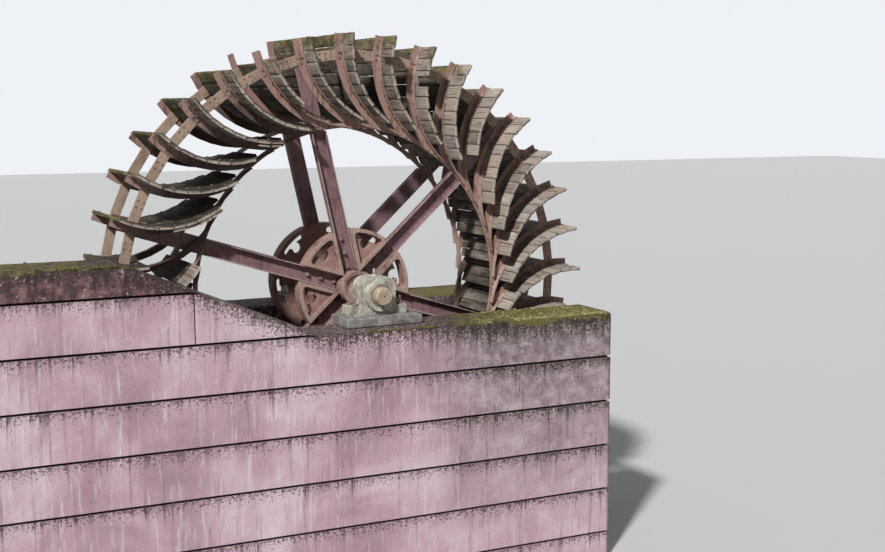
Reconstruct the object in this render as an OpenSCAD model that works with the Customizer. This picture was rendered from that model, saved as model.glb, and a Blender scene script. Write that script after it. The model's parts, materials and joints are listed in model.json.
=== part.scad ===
// Breastshot water wheel in its masonry pit: curved timber paddles on iron ribs.
// Millimetres, +X to the right, +Y away from the viewer, +Z up.
// The origin is on the ground, straight under the middle of the wheel.

/* [Wheel] */
// Radius at the paddle tips
wheel_r = 2500; // [2400:10:2600]
// Number of paddles, a multiple of six
paddle_count = 36; // [30:6:36]
// Angle of one paddle's tip above the horizontal, in degrees
tip_angle = 2.1; // [0:0.1:4]
// Distance from the wheel's middle plane to each ring of plates
ring_y = 375; // [340:5:410]

/* [Paddles] */
// Number of boards of full length in a whole paddle
board_count = 8; // [6:1:8]
// Number of shorter boards between the rings, at each paddle's inner end
inner_boards = 2; // [1:1:2]
// Width of one board along the paddle's curve
board_w = 127; // [115:1:132]
// Thickness of a board
board_t = 33; // [20:1:40]
// Radius of the paddle's curve
curve_r = 970; // [940:10:1150]
// How far the outermost board leans back from the wheel's radius, in degrees
tip_lean = 3.5; // [2:0.1:5]
// Play of the slots in the boards, where rings and spokes pass through
slot_play = 3; // [2:0.5:6]
// How far the boards reach past the front ribs' flat legs
front_overhang = 263; // [150:1:290]
// How far the boards reach past the rear ribs' flat legs
rear_overhang = 10; // [4:1:40]

/* [Ribs] */
// Length of a rib's leg in the plane of the ring
rib_plane_leg = 65; // [50:1:75]
// Width of a rib's leg that carries the boards
rib_flat_leg = 70; // [50:1:80]
// Thickness of both legs
rib_t = 8; // [6:0.5:10]

/* [Rings] */
// Distance from the paddle tips to the middle of the outer ring's plates
outer_ring_inset = 210; // [130:5:300]
// Width of the outer ring's plates
outer_ring_w = 100; // [70:1:120]
// Distance from the paddles' inner ends out to the inner ring's outer edge
inner_ring_over = 33; // [26:1:34]
// Width of the inner ring
inner_ring_w = 45; // [30:1:60]
// Thickness of the ring plates
ring_t = 10; // [8:0.5:14]

/* [Spokes] */
// Number of spokes on each side
spoke_count = 6; // [6:1:6]
// Width of a spoke across its flanges
spoke_w = 154; // [120:1:170]
// Depth of a spoke's flanges in front of its web
spoke_flange = 65; // [40:1:75]
// Thickness of a spoke's web and flanges
spoke_t = 10; // [7:0.5:12]
// Number of paddles between the first paddle and the first spoke
spoke_paddle = 4; // [0:1:5]
// Angle of the spokes ahead of the paddle tips, in degrees
spoke_lead = 0.6; // [0:0.1:1.5]

/* [Hubs] */
// Radius of a hub's plate
hub_r = 585; // [540:5:620]
// Thickness of a hub's back plate
hub_plate_t = 30; // [22:1:40]
// Height of the rims over the back plate
hub_rim_h = 110; // [90:1:120]
// Width of the rims
hub_rim_w = 34; // [24:1:44]
// Thickness of the floor inside the rims
hub_floor_t = 62; // [40:1:80]
// Radius of the boss round the shaft
boss_r = 175; // [160:1:200]
// How much thinner the boss is behind the collar at its end
boss_neck = 10; // [4:1:20]
// Length of the boss's collar
collar_l = 34; // [20:1:60]
// Width of the collar's end face round its recess
collar_face = 28; // [18:1:36]
// Depth of the recess in the boss's end
recess_d = 12; // [4:1:25]
// How far the boss stands out past the rims
boss_out = 130; // [90:1:160]
// Width of the raised ring round the boss
boss_ring_w = 60; // [44:1:80]
// Radius of the pockets' corners
pocket_corner = 36; // [20:1:44]
// Width of the keyholes' curved slots
slot_w = 60; // [40:1:64]
// Half the angle between the rounded ends of a curved slot, in degrees
slot_half = 12.5; // [8:0.5:13]
// Distance from the outer rim to the curved slots
keyhole_gap = 8; // [4:1:16]
// Radius of the keyholes' round eyes
eye_r = 56; // [44:1:60]
// Distance from the middle of a curved slot inwards to its eye's centre
eye_drop = 62; // [56:1:72]
// Play between a spoke and its socket
socket_play = 4; // [1:0.5:8]

/* [Shaft] */
// Radius of the shaft's journals
journal_r = 88; // [80:0.5:95]
// How much thinner the shaft's free ends are than its journals
end_step = 2; // [0.5:0.5:8]
// Radius of the shaft between the hubs
shaft_r = 108; // [100:0.5:120]
// Length of shaft that stands out past each bearing
shaft_out = 120; // [90:1:160]
// Radius of the centre holes in the shaft's ends
centre_hole_r = 9; // [5:0.5:14]
// Depth of the centre holes
centre_hole_d = 20; // [10:1:40]
// Chamfer at the shaft's ends
shaft_chamfer = 8; // [3:0.5:12]

/* [Bearings] */
// Length of a bearing along the shaft
bearing_l = 260; // [220:2:280]
// Least distance from a pit wall's inner face to the middle of its bearing
bearing_back = 160; // [150:1:190]
// Least clearance between a hub's boss and its bearing
boss_gap = 20; // [12:1:40]
// Height of the shaft's axis over the bearing's seat
bearing_h = 188; // [180:1:210]
// Width of a bearing's foot
foot_w = 576; // [540:2:640]
// Thickness of a bearing's foot
foot_t = 84; // [50:1:90]
// Half the width of a bearing's housing, and its height over the axis
housing_r = 172; // [168:1:178]
// Radius of the corners of a bearing's cap
cap_corner = 110; // [80:1:150]
// Radius of the rings on a bearing's faces
ring_r = 152; // [140:1:160]
// How far those rings stand out
ring_out = 40; // [16:1:50]
// Wall thickness of the bearing's brass
brass_t = 20; // [14:0.5:26]
// Radial clearance between the journal and its brass
running_gap = 0.08; // [0.03:0.01:0.1]

/* [Pit] */
// Clearance between the paddles' ends and the pit walls
side_gap = 72; // [40:1:100]
// Clearance between the paddles' tips and the pit floor
floor_gap = 100; // [60:5:150]
// Thickness of the pit floor
floor_t = 250; // [150:10:350]
// Thickness of the pit walls
wall_t = 670; // [620:5:750]
// Depth of the level wall top below the shaft's axis
wall_drop = 280; // [270:1:300]
// Distance from the shaft's axis to the walls' right end
wall_right = 2390; // [2300:10:2700]
// Distance from the shaft's axis to the walls' left end
wall_left = 3700; // [3300:10:4000]
// Height of one course of the raised end
course_h = 460; // [420:5:480]
// Height of the uppermost course
top_course_h = 280; // [220:5:320]
// Distance from the shaft's axis to the foot of the slope
slope_foot = 740; // [640:10:900]
// Distance from the shaft's axis to the head of the slope
slope_head = 2520; // [2300:10:2700]
// Height of the shadow joints in the walls
joint_h = 18; // [8:1:30]
// Depth of the shadow joints
joint_d = 30; // [10:1:40]
// Distance from the shaft's axis to the upright joint in the middle course
upright_joint = 1920; // [1850:10:2400]
// Width of the upright joint
upright_joint_w = 12; // [6:1:20]
// Width of the bearing slabs along the walls
slab_w = 780; // [720:5:900]
// Depth of the bearing slabs across the walls
slab_d = 410; // [360:5:440]

/* [Hidden] */
$fn = 64;

// faces of the hubs and length of the bearings with their rings and brasses
brass_lip = 6;
brass_l = bearing_l + 2 * ring_out + 2 * brass_lip;
web_front = ring_y - ring_t;
web_back = web_front - spoke_t;
boss_front = web_back + hub_rim_h + boss_out;

// places along Y, from the wheel's middle plane
front_end = ring_y + rib_flat_leg + front_overhang;
rear_end = ring_y + rib_flat_leg + rear_overhang;
pit_front = -(front_end + side_gap);
pit_rear = rear_end + side_gap;
bearing_clear = boss_front + boss_gap + brass_l / 2;
front_bearing_y = -max(bearing_back - pit_front, bearing_clear);
rear_bearing_y = max(bearing_back + pit_rear, bearing_clear);
shaft_front = front_bearing_y - bearing_l / 2 - shaft_out;
shaft_rear = rear_bearing_y + bearing_l / 2 + shaft_out;

// heights, from the ground
axle_z = floor_t + floor_gap + wheel_r;
wall_top = axle_z - wall_drop;
slab_t = wall_drop - bearing_h;

// a paddle's curve, as flat boards that turn a little from one to the next
board_turn = board_w / curve_r * 180 / PI;
sector_paddles = paddle_count / 6;
function turned(i) = i * board_turn - tip_lean;
function curve_point(i) = i == 0 ? [wheel_r, 0]
    : curve_point(i - 1) - board_w * [cos(turned(i - 1)), sin(turned(i - 1))];
function side(a) = [-sin(a), cos(a)];
row_count = board_count + inner_boards;

outer_ring_r = wheel_r - outer_ring_inset;
inner_ring_r = norm(curve_point(row_count)) + inner_ring_over;
ring_inside = inner_ring_r - inner_ring_w;
ring_facets = 120;

// a point beside the curve's joint i, mitred between the two boards that meet there
function beside(i, off, first, last) =
    i == first ? curve_point(i) + off * side(turned(i))
    : i == last ? curve_point(i) + off * side(turned(i - 1))
    : curve_point(i) + off / cos(board_turn / 2) * side(turned(i - 0.5));

// the outline of boards a to b of a row from first to last, from offset lo to hi
function band(a, b, first, last, lo, hi) = concat(
    [for (i = [a : b]) beside(i, lo, first, last)],
    [for (i = [b : -1 : a]) beside(i, hi, first, last)]);

// boards that are gone: the first and the last board left on each paddle, and
// the last one that still has its front overhang
function first_board(k) = k == 11 ? 1 : 0;
function last_board(k) = k == 5 ? board_count - 2 : k == 17 || k == 18 ? 3 : row_count;
function last_whole(k) = min(k == 11 ? board_count - 3 : board_count, last_board(k));

rib_color = [0.44, 0.27, 0.22];
spoke_color = [0.36, 0.24, 0.24];
board_color = [0.55, 0.51, 0.45];
wall_color = [0.66, 0.50, 0.52];
stone_color = [0.55, 0.56, 0.48];
iron_color = [0.50, 0.53, 0.46];

// moves things drawn round the wheel's centre to their place, drawn in X and Z
module at_wheel(y = 0) translate([0, y, axle_z]) children();

// extrudes an outline drawn in the plane of the wheel from y0 to y1
module slice(y0, y1) at_wheel() translate([0, y1, 0]) rotate([90, 0, 0])
    linear_extrude(y1 - y0) children();

// horizontal shadow joints on the outer face at y, one course apart, below height top
module shadow_joints(y, top) {
    for (z = [top - course_h : -course_h : joint_h * 2])
        translate([-wall_left - 1, y, z])
            cube([wall_left + wall_right + 2, joint_d, joint_h]);
}

module front_wall() color(wall_color) difference() {
    translate([-wall_left, pit_front - wall_t, 0])
        cube([wall_left + wall_right, wall_t, wall_top]);
    shadow_joints(pit_front - wall_t, wall_top);
}

// an end course between two heights over the wall top, its right end on the slope
slope_rise = course_h + top_course_h;
function slope_x(h) = -slope_foot - (slope_head - slope_foot) * h / slope_rise;
module end_course(h0, h1) difference() {
    slice(pit_front - wall_t, pit_front) polygon([
        [-wall_left, h0 - wall_drop], [slope_x(h0), h0 - wall_drop],
        [slope_x(h1), h1 - wall_drop], [-wall_left, h1 - wall_drop]]);
    translate([-wall_left - 1, pit_front - wall_t, wall_top + h0])
        cube([wall_left + 2, joint_d, joint_h]);
}
module front_wall_course() color(wall_color) difference() {
    end_course(0, course_h);
    translate([-upright_joint - upright_joint_w / 2, pit_front - wall_t, wall_top])
        cube([upright_joint_w, joint_d, course_h]);
}
module front_wall_cap() color(wall_color * 0.8) end_course(course_h, slope_rise);

module rear_wall() color(wall_color) difference() {
    translate([-wall_left, pit_rear, 0])
        cube([wall_left + wall_right, wall_t, wall_top]);
    shadow_joints(pit_rear + wall_t - joint_d, wall_top);
}

module pit_floor() color(stone_color)
    translate([-wall_left, pit_front, 0])
        cube([wall_left + wall_right, pit_rear - pit_front, floor_t]);

// bearings, drawn round the shaft's axis, with s = -1 at the front and 1 at the rear
slab_inset = 12;
module slab(y_in, s) translate([-slab_w / 2,
        s < 0 ? y_in - slab_inset - slab_d : y_in + slab_inset, wall_top])
    cube([slab_w, slab_d, slab_t]);
module front_slab() color(stone_color) slab(pit_front, -1);
module rear_slab() color(stone_color) slab(pit_rear, 1);

module along_y(r, l) rotate([90, 0, 0]) cylinder(r = r, h = l, center = true);
brass_r = journal_r + running_gap + brass_t;
seat_gap = 0.2;

// the housing's halves meet at the axis; a ring runs round each face of both
module half_rings(s) intersection() {
    along_y(ring_r, bearing_l + 2 * ring_out);
    translate([-housing_r, -bearing_l, s < 0 ? -housing_r : 0])
        cube([2 * housing_r, 2 * bearing_l, housing_r]);
}
module bearing_bore() along_y(brass_r + seat_gap, bearing_l + 2 * ring_out + 2);

module bearing_base(y) at_wheel(y) difference() {
    union() {
        translate([-foot_w / 2, -bearing_l / 2, -bearing_h]) cube([foot_w, bearing_l, foot_t]);
        translate([-housing_r, -bearing_l / 2, -bearing_h + foot_t])
            cube([2 * housing_r, bearing_l, bearing_h - foot_t]);
        half_rings(-1);
    }
    bearing_bore();
}

cap_flat = housing_r - cap_corner;
module bearing_cap(y) at_wheel(y) difference() {
    union() {
        translate([-housing_r, -bearing_l / 2, 0]) cube([2 * housing_r, bearing_l, cap_flat]);
        translate([-cap_flat, -bearing_l / 2, 0]) cube([2 * cap_flat, bearing_l, housing_r]);
        intersection() {
            for (s = [-1, 1]) translate([s * cap_flat, 0, cap_flat]) along_y(cap_corner, bearing_l);
            translate([-housing_r, -bearing_l, 0]) cube([2 * housing_r, 2 * bearing_l, housing_r]);
        }
        half_rings(1);
        cylinder(r = oiler_boss_r, h = housing_r + oiler_boss_h);
    }
    bearing_bore();
}

// a small oil cup on each cap: a stem, a cup and a tapered lid
oiler_boss_r = 24;
oiler_boss_h = 10;
stem_r = 8;
stem_h = 20;
cup_r = 14;
cup_h = 30;
lid_r = 7;
lid_h = 12;
module brass(y) at_wheel(y) difference() {
    along_y(brass_r, brass_l);
    along_y(journal_r + running_gap, brass_l + 2);
}
module oiler(y) at_wheel(y) translate([0, 0, housing_r + oiler_boss_h])
    rotate_extrude() polygon([[0, 0], [stem_r, 0], [stem_r, stem_h], [cup_r, stem_h],
        [cup_r, stem_h + cup_h], [lid_r, stem_h + cup_h + lid_h], [0, stem_h + cup_h + lid_h]]);

module front_bearing_base() color(iron_color) bearing_base(front_bearing_y);
module rear_bearing_base() color(iron_color) bearing_base(rear_bearing_y);
module front_bearing_cap() color(iron_color) bearing_cap(front_bearing_y);
module rear_bearing_cap() color(iron_color) bearing_cap(rear_bearing_y);
module front_brass() color("goldenrod") brass(front_bearing_y);
module rear_brass() color("goldenrod") brass(rear_bearing_y);
module front_oiler() color(iron_color) oiler(front_bearing_y);
module rear_oiler() color(iron_color) oiler(rear_bearing_y);

// shaft: free ends, journals, and a thicker middle that carries the hubs
end_r = journal_r - end_step;
shoulder_gap = 3;
front_shoulder = front_bearing_y - brass_l / 2 - shoulder_gap;
rear_shoulder = rear_bearing_y + brass_l / 2 + shoulder_gap;
module shaft() color([0.58, 0.50, 0.42]) at_wheel() rotate([90, 0, 0]) rotate_extrude()
    polygon([[0, -shaft_rear + centre_hole_d], [centre_hole_r, -shaft_rear + centre_hole_d],
        [centre_hole_r, -shaft_rear], [end_r - shaft_chamfer, -shaft_rear],
        [end_r, -shaft_rear + shaft_chamfer], [end_r, -rear_shoulder],
        [journal_r, -rear_shoulder], [journal_r, -boss_front],
        [shaft_r, -boss_front], [shaft_r, boss_front],
        [journal_r, boss_front], [journal_r, -front_shoulder],
        [end_r, -front_shoulder], [end_r, -shaft_front - shaft_chamfer],
        [end_r - shaft_chamfer, -shaft_front], [centre_hole_r, -shaft_front],
        [centre_hole_r, -shaft_front - centre_hole_d], [0, -shaft_front - centre_hole_d]]);

// repeats its children at the spokes' angles in the plane of the wheel, or at every other one
spoke_angle = tip_angle + spoke_paddle * 360 / paddle_count + spoke_lead;
module at_spokes(first = 0, every = 1) for (i = [first : every : spoke_count - 1])
    rotate(spoke_angle + i * 360 / spoke_count) children();

socket_w = spoke_w + 2 * socket_play;
module socket_strips(extra) at_spokes()
    translate([0, -socket_w / 2 - extra]) square([hub_r + 1, socket_w + 2 * extra]);

// a hub, drawn lying on its back plate with the boss up
hub_top = hub_rim_h + boss_out;
neck_r = boss_r - boss_neck;
module hub_body() difference() {
    union() {
        translate([0, 0, -hub_plate_t]) cylinder(r = hub_r, h = hub_plate_t);
        linear_extrude(hub_rim_h) difference() {
            circle(hub_r);
            socket_strips(0);
        }
        translate([0, 0, -hub_plate_t]) cylinder(r = neck_r, h = hub_plate_t + hub_top);
        translate([0, 0, hub_top - collar_l]) cylinder(r = boss_r, h = collar_l);
    }
    translate([0, 0, hub_floor_t]) linear_extrude(hub_rim_h) pockets();
    translate([0, 0, -hub_plate_t - 1]) linear_extrude(hub_plate_t + hub_rim_h + 2) keyholes();
    translate([0, 0, -hub_plate_t - 1])
        cylinder(r = shaft_r + seat_gap, h = hub_plate_t + hub_top + 2);
    translate([0, 0, hub_top - recess_d]) cylinder(r = boss_r - collar_face, h = recess_d + 1);
}

// six pockets between the rims, with rounded corners beside the sockets
pocket_out = hub_r - hub_rim_w;
pocket_in = boss_r + boss_ring_w;
pocket_side = socket_w / 2 + hub_rim_w;
module pockets() difference() {
    circle(pocket_out);
    circle(pocket_in);
    socket_strips(hub_rim_w);
    at_spokes() for (s = [-1, 1]) {
        corner_fill(s, pocket_out, pocket_out - pocket_corner);
        corner_fill(s, pocket_in, pocket_in + pocket_corner);
    }
}

// what is left standing in a pocket's corner, where its side meets the circle of radius r;
// the corner's own circle has its centre at radius centre_r
module corner_fill(s, r, centre_r) {
    v = pocket_side + pocket_corner;
    centre = [sqrt(centre_r * centre_r - v * v), s * v];
    difference() {
        polygon([centre, [centre[0], s * pocket_side],
            [max(sqrt(r * r - pocket_side * pocket_side), r > centre_r ? r : 0), s * pocket_side],
            centre * r / centre_r]);
        translate(centre) circle(pocket_corner);
    }
}

// keyholes through the plate: a round eye that opens into a curved slot with round ends
slot_mid = pocket_out - keyhole_gap - slot_w / 2;
module keyholes() for (i = [0 : spoke_count - 1])
    rotate(spoke_angle + (i + 0.5) * 360 / spoke_count) {
        translate([slot_mid - eye_drop, 0]) circle(eye_r);
        for (s = [-1, 1]) rotate(s * slot_half) translate([slot_mid, 0]) circle(slot_w / 2);
        intersection() {
            difference() {
                circle(slot_mid + slot_w / 2);
                circle(slot_mid - slot_w / 2);
            }
            polygon([[0, 0], hub_r * [1, -tan(slot_half)], hub_r * [1, tan(slot_half)]]);
        }
    }
module front_hub() color(rib_color) at_wheel(-web_back) rotate([90, 0, 0]) hub_body();
module rear_hub() color(rib_color) at_wheel(web_back) mirror([0, 1, 0]) rotate([90, 0, 0]) hub_body();

// spokes: channels from the boss to the inner ring, then flat webs to the outer ring
boss_play = 4;
flange_play = 6;
spoke_inset = 10;
spoke_start = neck_r + boss_play;
spoke_end = outer_ring_r + outer_ring_w / 2 - spoke_inset;
flange_end = ring_inside - flange_play;
module spoke_web(play) translate([spoke_start - play, -spoke_w / 2 - play, -play])
    cube([spoke_end - spoke_start + 2 * play, spoke_w + 2 * play, spoke_t + 2 * play]);
module spoke() {
    spoke_web(0);
    for (s = [-1, 1]) translate([spoke_start, s * (spoke_w - spoke_t) / 2 - spoke_t / 2, 0])
        cube([flange_end - spoke_start, spoke_t, spoke_t + spoke_flange]);
}
module spokes(first) color(spoke_color) rotate([90, 0, 0]) at_spokes(first, 2) spoke();
module front_spokes(part) at_wheel(-web_back) spokes(part - 1);
module rear_spokes(part) at_wheel(web_back) mirror([0, 1, 0]) spokes(part - 1);

// rings
module inner_ring(y0) slice(y0, y0 + ring_t) difference() {
    circle(inner_ring_r, $fn = ring_facets);
    circle(ring_inside, $fn = ring_facets);
}
function many_sided(r) = [for (i = [0 : paddle_count - 1])
    r / cos(180 / paddle_count) * [cos(tip_angle + i * 360 / paddle_count),
        sin(tip_angle + i * 360 / paddle_count)]];
module outer_ring(y0, play = 0) slice(y0 - play, y0 + ring_t + play) difference() {
    polygon(many_sided(outer_ring_r + outer_ring_w / 2 + play));
    polygon(many_sided(outer_ring_r - outer_ring_w / 2 - play));
}
module front_inner_ring() color(rib_color) inner_ring(-ring_y);
module rear_inner_ring() color(rib_color) inner_ring(ring_y - ring_t);
module front_outer_ring() color(rib_color) outer_ring(-ring_y);
module rear_outer_ring() color(rib_color) outer_ring(ring_y - ring_t);

// repeats its children at the paddles of one sector; $k counts round the whole wheel
module at_paddles(sector) for (i = [0 : sector_paddles - 1]) {
    $k = (sector - 1) * sector_paddles + i;
    rotate([0, -(tip_angle + $k * 360 / paddle_count), 0]) children();
}

// a flat outline in the plane of the wheel, from y0 to y1, that ends short of the next
// paddle's rib
row_gap = 9;
module plate(y0, y1, points) translate([0, y1, 0]) rotate([90, 0, 0])
    linear_extrude(y1 - y0) difference() {
        polygon(points);
        rotate(-360 / paddle_count)
            polygon(band(0, row_count, 0, row_count, -board_w, rib_plane_leg + row_gap));
    }

// whole boards, boards that lost their overhang, and the short ones between the rings
module paddle(k) {
    first = first_board(k);
    last = last_board(k);
    whole = last_whole(k);
    plate(-front_end, rear_end, band(first, whole, first, last, -board_t, 0));
    if (whole < min(last, board_count))
        plate(-ring_y - rib_flat_leg, rear_end, band(whole, board_count, first, last, -board_t, 0));
    if (last > board_count)
        plate(-web_front, web_front, band(board_count, last, first, last, -board_t, 0));
}

// what the boards leave free for the rings and for the spokes' webs
module board_slots() {
    outer_ring(-ring_y, slot_play);
    outer_ring(ring_y - ring_t, slot_play);
    at_wheel(-web_back) rotate([90, 0, 0]) at_spokes() spoke_web(slot_play);
    at_wheel(web_back) mirror([0, 1, 0]) rotate([90, 0, 0]) at_spokes() spoke_web(slot_play);
}
module paddles(sector) color(board_color) difference() {
    at_wheel() at_paddles(sector) paddle($k);
    board_slots();
}

// an angle iron bent to the paddle's curve, its leg at the ring cut off along the ring
module rib(y0, y1, leg_y) {
    plate(y0, y1, band(0, row_count, 0, row_count, 0, rib_t));
    difference() {
        plate(leg_y, leg_y + rib_t, band(0, row_count, 0, row_count, 0, rib_plane_leg));
        along_y(ring_inside, 4 * ring_y, $fn = ring_facets);
    }
}
module front_rib() rib(-ring_y - rib_flat_leg, -ring_y, -ring_y - rib_t);
module rear_rib() rib(ring_y, ring_y + rib_flat_leg, ring_y);
module front_ribs(sector) color(rib_color) at_wheel() at_paddles(sector) front_rib();
module rear_ribs(sector) color(rib_color) at_wheel() at_paddles(sector) rear_rib();

front_wall();
front_wall_course();
front_wall_cap();
rear_wall();
pit_floor();
front_slab();
rear_slab();
front_bearing_base();
rear_bearing_base();
front_bearing_cap();
rear_bearing_cap();
front_brass();
rear_brass();
front_oiler();
rear_oiler();
shaft();
front_hub();
rear_hub();
front_spokes(1);  // front_spokes_1
front_spokes(2);  // front_spokes_2
rear_spokes(1);  // rear_spokes_1
rear_spokes(2);  // rear_spokes_2
front_inner_ring();
rear_inner_ring();
front_outer_ring();
rear_outer_ring();
paddles(1);  // paddles_1
paddles(2);  // paddles_2
paddles(3);  // paddles_3
paddles(4);  // paddles_4
paddles(5);  // paddles_5
paddles(6);  // paddles_6
front_ribs(1);  // front_ribs_1
front_ribs(2);  // front_ribs_2
front_ribs(3);  // front_ribs_3
front_ribs(4);  // front_ribs_4
front_ribs(5);  // front_ribs_5
front_ribs(6);  // front_ribs_6
rear_ribs(1);  // rear_ribs_1
rear_ribs(2);  // rear_ribs_2
rear_ribs(3);  // rear_ribs_3
rear_ribs(4);  // rear_ribs_4
rear_ribs(5);  // rear_ribs_5
rear_ribs(6);  // rear_ribs_6
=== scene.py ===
import json
import math
import random

import bmesh
import bpy
from mathutils import Matrix, Vector, noise


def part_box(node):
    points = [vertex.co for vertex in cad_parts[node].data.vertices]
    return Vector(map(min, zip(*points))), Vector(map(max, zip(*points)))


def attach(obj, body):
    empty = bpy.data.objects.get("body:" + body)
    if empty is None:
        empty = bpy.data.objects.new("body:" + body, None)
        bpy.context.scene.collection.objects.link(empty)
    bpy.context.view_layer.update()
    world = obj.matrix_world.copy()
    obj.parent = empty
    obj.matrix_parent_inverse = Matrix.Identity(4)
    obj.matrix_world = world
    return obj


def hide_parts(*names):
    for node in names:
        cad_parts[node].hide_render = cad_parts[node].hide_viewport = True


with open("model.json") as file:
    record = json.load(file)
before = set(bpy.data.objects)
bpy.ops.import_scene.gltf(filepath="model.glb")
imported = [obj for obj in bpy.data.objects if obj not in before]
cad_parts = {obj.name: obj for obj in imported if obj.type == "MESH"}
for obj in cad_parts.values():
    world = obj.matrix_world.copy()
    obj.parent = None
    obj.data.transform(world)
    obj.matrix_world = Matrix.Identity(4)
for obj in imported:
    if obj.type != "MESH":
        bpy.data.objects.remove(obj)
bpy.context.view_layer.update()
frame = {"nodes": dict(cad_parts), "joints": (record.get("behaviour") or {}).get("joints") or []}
axleZ = frame["joints"][0]["pos_m"][2]
print("frame loaded")

# the camera stands where the photograph was taken, in metres from the wheel's centre
photoView = {
    "place": (-5.1245, -12.6598, 1.8125),
    "yaw": 26.567, "pitch": 7.332, "roll": -0.06,  # degrees
    "focalPixels": 1337.6, "imageWidth": 885,
    "sensor": 36.0, "farthest": 400,
}


def makeCamera():
    lens = bpy.data.cameras.new("photoView")
    lens.sensor_width = photoView["sensor"]
    lens.lens = photoView["focalPixels"] / photoView["imageWidth"] * photoView["sensor"]
    lens.clip_end = photoView["farthest"]
    camera = bpy.data.objects.new("photoView", lens)
    camera.location = Vector(photoView["place"]) + Vector((0, 0, axleZ))
    turn = Matrix.Rotation(math.radians(-photoView["yaw"]), 3, "Z")
    turn = turn @ Matrix.Rotation(math.radians(90 - photoView["pitch"]), 3, "X")
    turn = turn @ Matrix.Rotation(math.radians(photoView["roll"]), 3, "Z")
    camera.rotation_euler = turn.to_euler()
    bpy.context.scene.collection.objects.link(camera)
    bpy.context.scene.camera = camera


makeCamera()
print("camera placed")


# small helpers for materials made of nodes
def newMaterial(name):
    material = bpy.data.materials.new(name)
    material.use_nodes = True
    tree = material.node_tree
    tree.nodes.clear()
    out = tree.nodes.new("ShaderNodeOutputMaterial")
    shader = tree.nodes.new("ShaderNodeBsdfPrincipled")
    tree.links.new(shader.outputs[0], out.inputs[0])
    return material, tree, shader


def setInputs(node, values):
    for name, value in values.items():
        node.inputs[name].default_value = value


def place(tree, scale=(1, 1, 1)):
    coordinates = tree.nodes.new("ShaderNodeTexCoord")
    mapping = tree.nodes.new("ShaderNodeMapping")
    setInputs(mapping, {"Scale": scale})
    tree.links.new(coordinates.outputs["Object"], mapping.inputs["Vector"])
    return mapping.outputs["Vector"]


def cloud(tree, where, scale, detail=4, roughness=0.55, distortion=0.0):
    node = tree.nodes.new("ShaderNodeTexNoise")
    tree.links.new(where, node.inputs["Vector"])
    setInputs(node, {"Scale": scale, "Detail": detail, "Roughness": roughness, "Distortion": distortion})
    return node.outputs["Fac"]


def ramp(tree, value, stops):
    node = tree.nodes.new("ShaderNodeValToRGB")
    tree.links.new(value, node.inputs["Fac"])
    while len(node.color_ramp.elements) < len(stops):
        node.color_ramp.elements.new(0.5)
    for element, (position, color) in zip(node.color_ramp.elements, stops):
        element.position = position
        element.color = (*color, 1) if hasattr(color, "__len__") else (color, color, color, 1)
    return node.outputs["Color"]


def step(tree, value, low, high):
    node = tree.nodes.new("ShaderNodeMapRange")
    node.interpolation_type = "SMOOTHSTEP"
    tree.links.new(value, node.inputs["Value"])
    setInputs(node, {"From Min": low, "From Max": high})
    return node.outputs["Result"]


def sums(tree, kind, first, second):
    node = tree.nodes.new("ShaderNodeMath")
    node.operation = kind
    for socket, value in zip(node.inputs, (first, second)):
        if isinstance(value, (int, float)):
            socket.default_value = value
        else:
            tree.links.new(value, socket)
    return node.outputs[0]


def plus(tree, first, second):
    return sums(tree, "ADD", first, second)


def times(tree, first, second):
    return sums(tree, "MULTIPLY", first, second)


def blendColors(tree, share, first, second, kind="MIX"):
    node = tree.nodes.new("ShaderNodeMix")
    node.data_type = "RGBA"
    node.blend_type = kind
    sockets = (node.inputs["Factor"], node.inputs[6], node.inputs[7])
    for socket, value in zip(sockets, (share, first, second)):
        if isinstance(value, (int, float)):
            socket.default_value = value
        elif isinstance(value, tuple):
            socket.default_value = (*value, 1)
        else:
            tree.links.new(value, socket)
    return node.outputs[2]


def marked(tree, name):
    node = tree.nodes.new("ShaderNodeAttribute")
    node.attribute_name = name
    return node.outputs["Fac"]


def roughen(tree, shader, height, distance, strength):
    node = tree.nodes.new("ShaderNodeBump")
    setInputs(node, {"Distance": distance, "Strength": strength})
    tree.links.new(height, node.inputs["Height"])
    tree.links.new(node.outputs["Normal"], shader.inputs["Normal"])


def facing(tree, axis):
    # how squarely a face looks along an axis, either way
    geometry = tree.nodes.new("ShaderNodeNewGeometry")
    parts = tree.nodes.new("ShaderNodeSeparateXYZ")
    tree.links.new(geometry.outputs["Normal"], parts.inputs[0])
    return sums(tree, "ABSOLUTE", parts.outputs[axis], 0)


def fromMiddle(tree):
    # distance from the wheel's middle plane
    parts = tree.nodes.new("ShaderNodeSeparateXYZ")
    tree.links.new(place(tree), parts.inputs[0])
    return sums(tree, "ABSOLUTE", parts.outputs["Y"], 0)


def fromAxle(tree):
    # distance from the wheel's axis
    coordinates = tree.nodes.new("ShaderNodeTexCoord")
    mapping = tree.nodes.new("ShaderNodeMapping")
    setInputs(mapping, {"Location": (0, 0, -axleZ), "Scale": (1, 0, 1)})
    tree.links.new(coordinates.outputs["Object"], mapping.inputs["Vector"])
    length = tree.nodes.new("ShaderNodeVectorMath")
    length.operation = "LENGTH"
    tree.links.new(mapping.outputs["Vector"], length.inputs[0])
    return length.outputs["Value"]


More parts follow.
